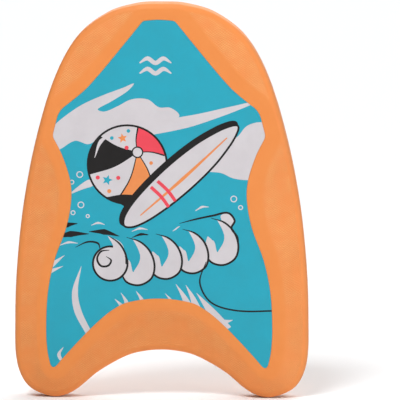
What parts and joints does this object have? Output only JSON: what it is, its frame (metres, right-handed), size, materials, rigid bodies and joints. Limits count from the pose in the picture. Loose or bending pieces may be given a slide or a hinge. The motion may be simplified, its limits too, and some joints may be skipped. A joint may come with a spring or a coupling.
{
  "type": "kickboard float",
  "caption": "Child's foam swimming kickboard with a rounded nose, sloping grip pads, an inlaid printed panel and an arched tail.",
  "frame": {"origin": "middle of the board's width and thickness, level with the bottom of the two tail lobes that it stands on", "axes": "+Z from tail to nose, +X across the board, +Y through the thickness from the printed front to the plain back"},
  "size_m": [0.2964, 0.032, 0.4],
  "materials": {
    "orange_foam": "matt closed-cell EVA foam, fine grain on the pads",
    "white_foam": "smooth closed-cell EVA foam",
    "glue_film": "clear hot-melt film",
    "print": "satin transfer print"
  },
  "bodies": {
    "root": {"front_layer": "orange_foam", "core_layer": "orange_foam", "back_layer": "orange_foam", "front_glue_film": "glue_film", "back_glue_film": "glue_film", "panel_glue_film": "glue_film", "print_panel": "white_foam", "print_film": "print"}
  },
  "joints": []
}
